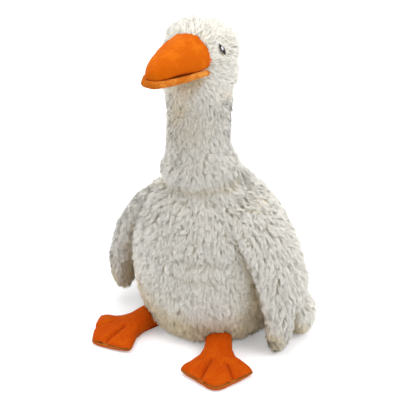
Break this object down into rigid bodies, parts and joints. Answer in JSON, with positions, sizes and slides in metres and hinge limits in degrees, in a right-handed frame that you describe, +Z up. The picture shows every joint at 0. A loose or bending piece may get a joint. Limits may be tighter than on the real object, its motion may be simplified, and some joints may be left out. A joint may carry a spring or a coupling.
{
  "type": "plush goose",
  "caption": "Seated plush goose with a long-pile cream body, hanging wings, a deep orange beak and webbed stitched feet.",
  "frame": {"origin": "centre of the flat base on the floor, below the neck's upright line", "axes": "+Z up through the neck and head, -Y the way the goose faces, +X its left"},
  "size_m": [0.2416, 0.2505, 0.3357],
  "materials": {
    "cream_pile": "long soft clumped pile, matte",
    "orange_velour": "short velour with a soft sheen",
    "fibre_filling": "loose polyester fibre, matte",
    "black_thread": "satin-stitched embroidery thread"
  },
  "bodies": {
    "root": {"belly_panel": "cream_pile", "left_side_panel": "cream_pile", "right_side_panel": "cream_pile", "base_panel": "cream_pile", "head_left_panel": "cream_pile", "head_right_panel": "cream_pile", "left_wing_outer_panel": "cream_pile", "left_wing_inner_panel": "cream_pile", "right_wing_outer_panel": "cream_pile", "right_wing_inner_panel": "cream_pile", "tail_upper_panel": "cream_pile", "tail_lower_panel": "cream_pile", "upper_beak_panel": "orange_velour", "lower_beak_panel": "orange_velour", "left_foot_top_panel": "orange_velour", "left_foot_sole_panel": "orange_velour", "right_foot_top_panel": "orange_velour", "right_foot_sole_panel": "orange_velour", "body_filling": "fibre_filling", "left_wing_filling": "fibre_filling", "right_wing_filling": "fibre_filling", "tail_filling": "fibre_filling", "upper_beak_filling": "fibre_filling", "lower_beak_filling": "fibre_filling", "left_foot_filling": "fibre_filling", "right_foot_filling": "fibre_filling", "left_eye": "black_thread", "right_eye": "black_thread"}
  },
  "joints": []
}
